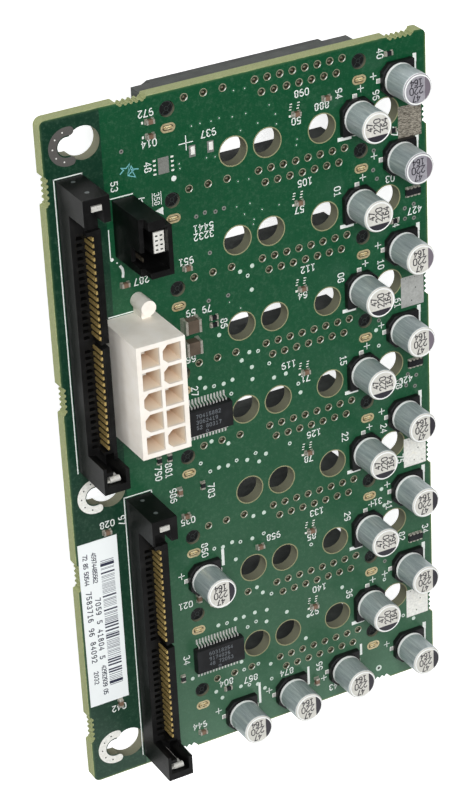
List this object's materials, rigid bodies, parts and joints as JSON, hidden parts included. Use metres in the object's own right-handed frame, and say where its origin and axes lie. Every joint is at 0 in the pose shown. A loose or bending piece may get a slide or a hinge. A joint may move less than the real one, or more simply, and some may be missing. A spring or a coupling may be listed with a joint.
{
  "type": "drive backplane board",
  "caption": "Flat rectangular circuit board with drive sockets on its back, slotted cable headers, a power header, can capacitors, keyhole mounts and rows of air holes.",
  "frame": {"origin": "bottom centre of the box around the whole assembly, in the plane of the drive sockets' faces, on which it lies", "axes": "+Z is the normal of the board face that carries the headers and the capacitors, +Y runs along the board from the last bay to the first, +X runs across the rows of drive contacts, towards the edge with the second column of capacitors"},
  "size_m": [0.0768, 0.1362, 0.0264],
  "materials": {
    "laminate": "green solder mask, satin, over glass fibre laminate",
    "header_cream": "moulded nylon, matt",
    "header_black": "moulded liquid crystal polymer, matt",
    "connector_black": "moulded, matt, filled with glass fibre",
    "base_black": "moulded, matt",
    "ic_black": "moulding compound, fine matt",
    "chip_black": "overglaze on alumina",
    "ceramic_tan": "bare fired ceramic",
    "can_aluminium": "drawn can, laminated, satin",
    "tin": "tin plate, satin",
    "lock_metal": "tin over phosphor bronze, worn",
    "gold": "gold over nickel, polished",
    "label_paper": "coated paper, matt"
  },
  "bodies": {
    "root": {"circuit_board": "laminate", "power_header_housing": "header_cream", "power_header_pins": "tin", "upper_data_header_housing": "header_black", "upper_data_header_contacts": "gold", "upper_data_header_latches": "tin", "lower_data_header_housing": "header_black", "lower_data_header_contacts": "gold", "lower_data_header_latches": "tin", "aux_header_housing": "header_black", "aux_header_contacts": "tin", "drive_connector_1": "connector_black", "drive_contacts_1": "gold", "drive_connector_2": "connector_black", "drive_contacts_2": "gold", "drive_connector_3": "connector_black", "drive_contacts_3": "gold", "drive_connector_4": "connector_black", "drive_contacts_4": "gold", "drive_connector_5": "connector_black", "drive_contacts_5": "gold", "drive_connector_6": "connector_black", "drive_contacts_6": "gold", "drive_connector_7": "connector_black", "drive_contacts_7": "gold", "drive_connector_8": "connector_black", "drive_contacts_8": "gold", "board_locks": "lock_metal", "capacitor_can_01": "can_aluminium", "capacitor_can_02": "can_aluminium", "capacitor_can_03": "can_aluminium", "capacitor_can_04": "can_aluminium", "capacitor_can_05": "can_aluminium", "capacitor_can_06": "can_aluminium", "capacitor_can_07": "can_aluminium", "capacitor_can_08": "can_aluminium", "capacitor_can_09": "can_aluminium", "capacitor_can_10": "can_aluminium", "capacitor_can_11": "can_aluminium", "capacitor_can_12": "can_aluminium", "capacitor_can_13": "can_aluminium", "capacitor_can_14": "can_aluminium", "capacitor_can_15": "can_aluminium", "capacitor_can_16": "can_aluminium", "capacitor_can_17": "can_aluminium", "capacitor_can_18": "can_aluminium", "capacitor_can_19": "can_aluminium", "capacitor_bases": "base_black", "capacitor_leads": "tin", "upper_ic_body": "ic_black", "upper_ic_leads": "tin", "lower_ic_body": "ic_black", "lower_ic_leads": "tin", "chip_capacitors": "ceramic_tan", "chip_resistors": "chip_black", "large_chip_capacitors": "ceramic_tan", "resistor_networks": "chip_black", "chip_end_caps": "tin", "paper_label": "label_paper"}
  },
  "joints": []
}
